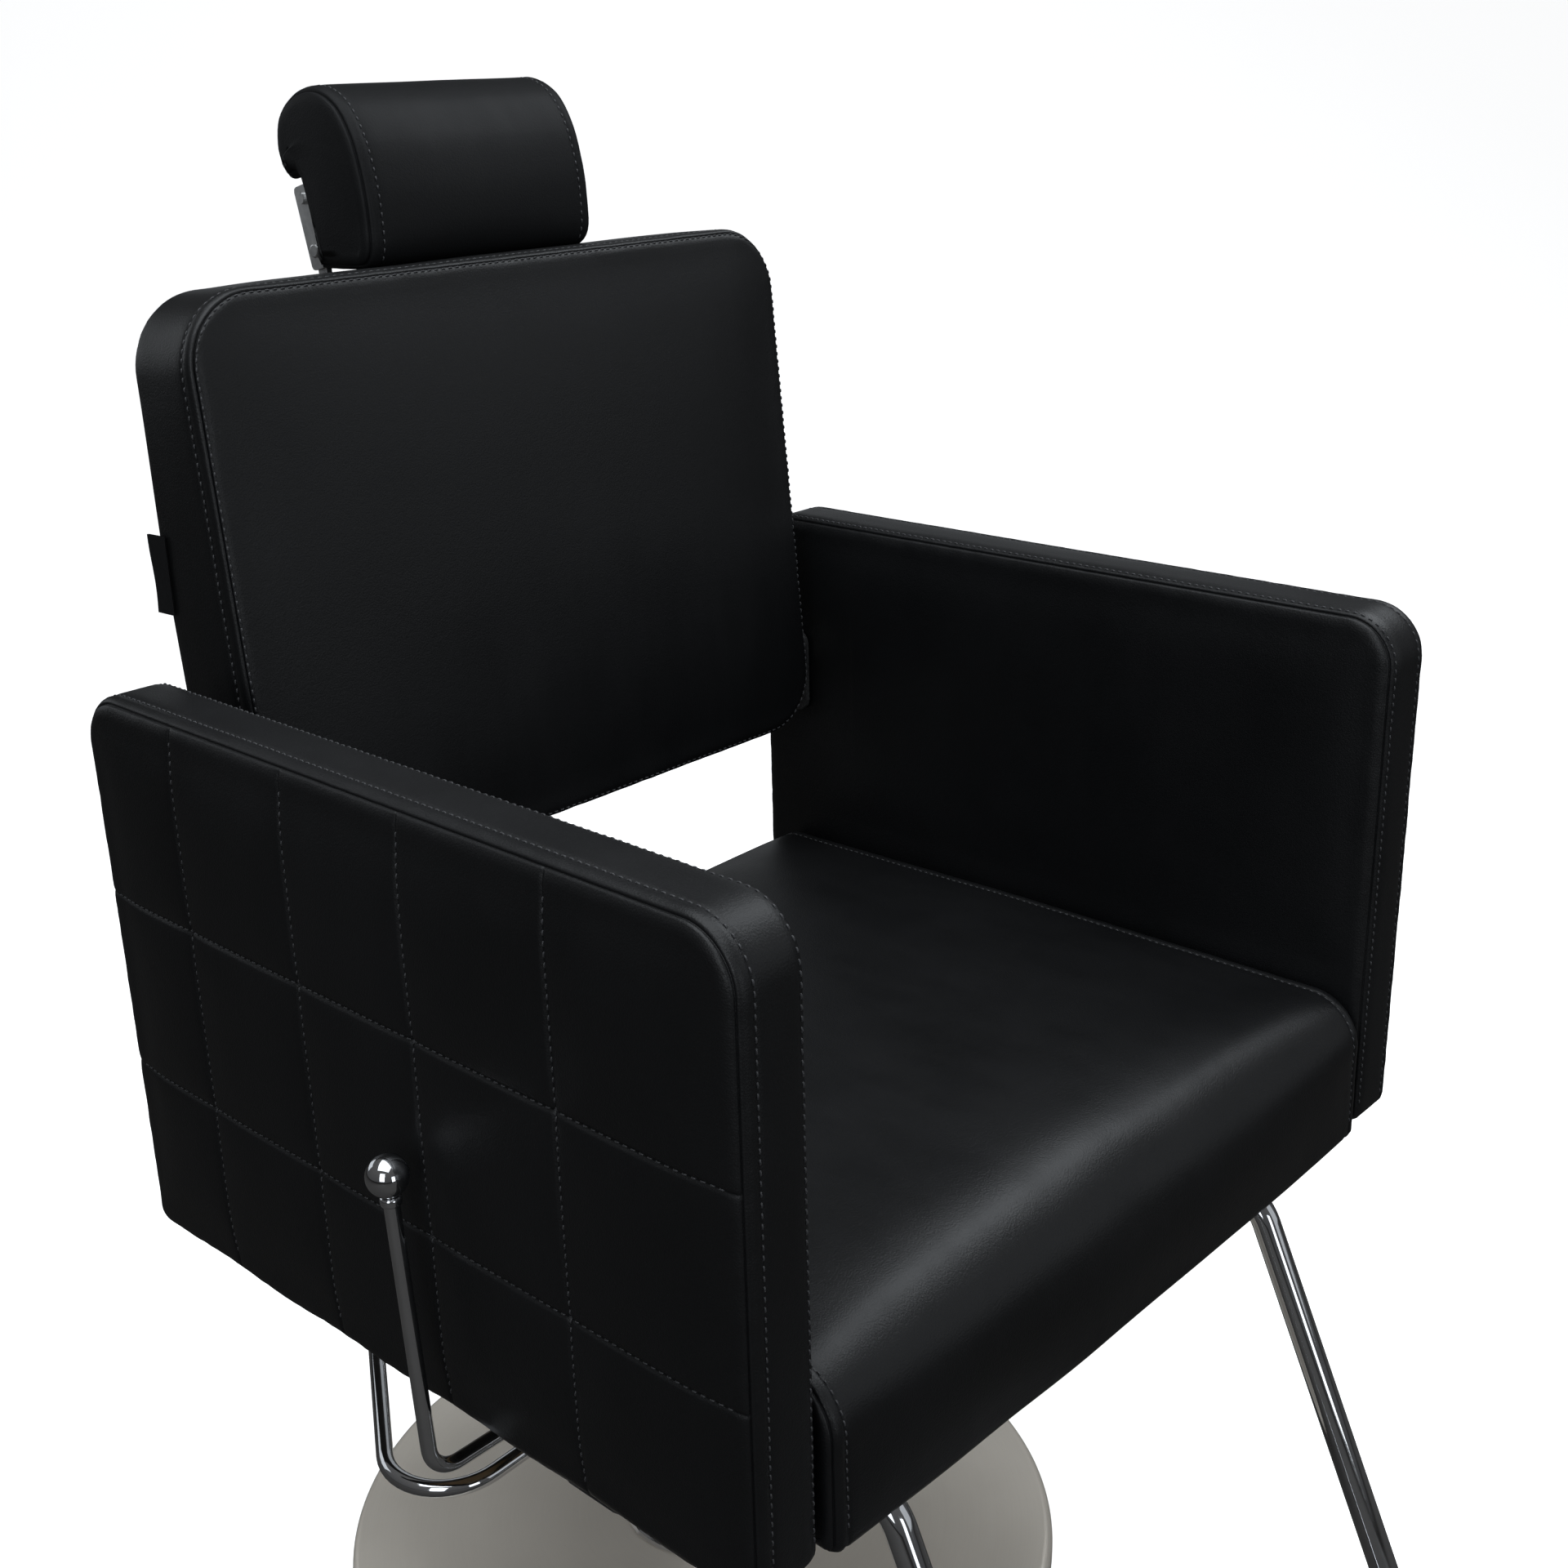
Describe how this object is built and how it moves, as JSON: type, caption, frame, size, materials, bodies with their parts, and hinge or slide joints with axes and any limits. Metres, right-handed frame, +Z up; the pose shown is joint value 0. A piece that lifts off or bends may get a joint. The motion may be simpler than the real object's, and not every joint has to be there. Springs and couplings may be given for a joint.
{
  "type": "styling chair",
  "caption": "Salon styling chair: boxed padded arms with quilted outer faces, reclining back, adjustable headrest, tube footrest, hydraulic pump and round floor base.",
  "frame": {"origin": "on the floor, on the axis of the pump and the round base", "axes": "+Z up; the sitter looks along -Y; the sitter's right arm is on the -X side"},
  "size_m": [0.685, 0.7556, 1.0646],
  "materials": {
    "leatherette": "satin, fine grain",
    "chrome": "polished",
    "stainless": "brushed",
    "zinc_steel": "zinc plated",
    "black_steel": "satin black paint",
    "cast_iron": "painted casting",
    "plywood": "raw plywood",
    "nylon": "natural nylon",
    "label_cloth": "woven"
  },
  "bodies": {
    "base": {"base_plate": "cast_iron", "base_cover": "stainless", "pump_body": "black_steel", "pump_collar": "chrome", "pump_sleeve": "chrome", "foot_lever_bracket": "black_steel", "foot_lever_pin": "zinc_steel"},
    "foot_lever": {"foot_lever_yoke": "chrome", "foot_lever_hoop": "chrome"},
    "piston": {"pump_piston": "chrome"},
    "seat": {"swivel_hub": "black_steel", "mount_plate": "black_steel", "seat_rail_right": "black_steel", "seat_rail_left": "black_steel", "cross_bar_front": "black_steel", "cross_bar_rear": "black_steel", "arm_bolt_front_right": "zinc_steel", "arm_bolt_front_left": "zinc_steel", "arm_bolt_rear_right": "zinc_steel", "arm_bolt_rear_left": "zinc_steel", "seat_board": "plywood", "seat_cushion": "leatherette", "arm_core_right": "plywood", "arm_core_left": "plywood", "arm_pad_right": "leatherette", "arm_pad_left": "leatherette", "arm_pivot_plate_right": "black_steel", "arm_pivot_plate_left": "black_steel", "footrest_tube": "chrome", "footrest_clamp_right": "zinc_steel", "footrest_clamp_left": "zinc_steel", "lever_bearing_outer": "nylon", "lever_bearing_inner": "nylon", "strut_anchor": "black_steel", "strut_pin_lower": "zinc_steel"},
    "recline_lever": {"recline_rod": "chrome", "recline_ball": "chrome", "recline_collar": "chrome", "recline_crank": "zinc_steel"},
    "back": {"back_pad": "leatherette", "back_core": "plywood", "back_rear_panel": "leatherette", "back_pivot_plate_right": "black_steel", "back_pivot_plate_left": "black_steel", "pivot_bush_right": "nylon", "pivot_bush_left": "nylon", "strut_bracket": "black_steel", "strut_pin_upper": "zinc_steel", "headrest_guide": "black_steel", "side_label": "label_cloth"},
    "strut_barrel": {"strut_barrel": "black_steel", "strut_foot_eye": "black_steel"},
    "strut_rod": {"strut_rod": "chrome"},
    "headrest_slider": {"headrest_post_right": "zinc_steel", "headrest_post_left": "zinc_steel", "headrest_post_tie": "zinc_steel"},
    "headrest": {"headrest_pad": "leatherette", "headrest_bracket": "zinc_steel", "tilt_screw_right": "zinc_steel", "tilt_screw_left": "zinc_steel"}
  },
  "joints": [
    {"name": "lift", "type": "slide", "parent": "base", "child": "piston", "axis": [0, 0, 1], "range_m": [0, 0.12]},
    {"name": "swivel", "type": "hinge", "parent": "piston", "child": "seat", "pos_m": [0, 0, 0.3], "axis": [0, 0, 1], "continuous": true},
    {"name": "recline", "type": "hinge", "parent": "seat", "child": "back", "pos_m": [0, 0.135, 0.615], "axis": [-1, 0, 0], "range_deg": [0, 30]},
    {"name": "headrest_lift", "type": "slide", "parent": "back", "child": "headrest_slider", "axis": [0, 0.0931, 0.9957], "range_m": [0, 0.08]},
    {"name": "headrest_tilt", "type": "hinge", "parent": "headrest_slider", "child": "headrest", "pos_m": [0, 0.2161, 0.9615], "axis": [-1, 0, 0], "range_deg": [0, 35]},
    {"name": "recline_pull", "type": "hinge", "parent": "seat", "child": "recline_lever", "pos_m": [0, -0.152, 0.3435], "axis": [-1, 0, 0], "range_deg": [0, 18], "stiffness_Nm_per_rad": 0.6, "springref_deg": -14.32},
    {"name": "foot_press", "type": "hinge", "parent": "base", "child": "foot_lever", "pos_m": [-0.04814, 0.03235, 0.175], "axis": [-0.5577, -0.83, 0], "range_deg": [0, 20], "stiffness_Nm_per_rad": 6, "springref_deg": -20.05},
    {"name": "strut_swing", "type": "hinge", "parent": "seat", "child": "strut_barrel", "pos_m": [0, 0.175, 0.345], "axis": [-1, 0, 0], "range_deg": [-0.1, 0.4]},
    {"name": "strut_slide", "type": "slide", "parent": "strut_barrel", "child": "strut_rod", "axis": [0, 0.1892, 0.9819], "range_m": [-0.055, 0.001]}
  ],
  "couplings": [
    {"joint": "strut_swing", "follows": "recline", "ratio": 0.0105},
    {"joint": "strut_slide", "follows": "recline", "m_per_rad": -0.09222}
  ]
}
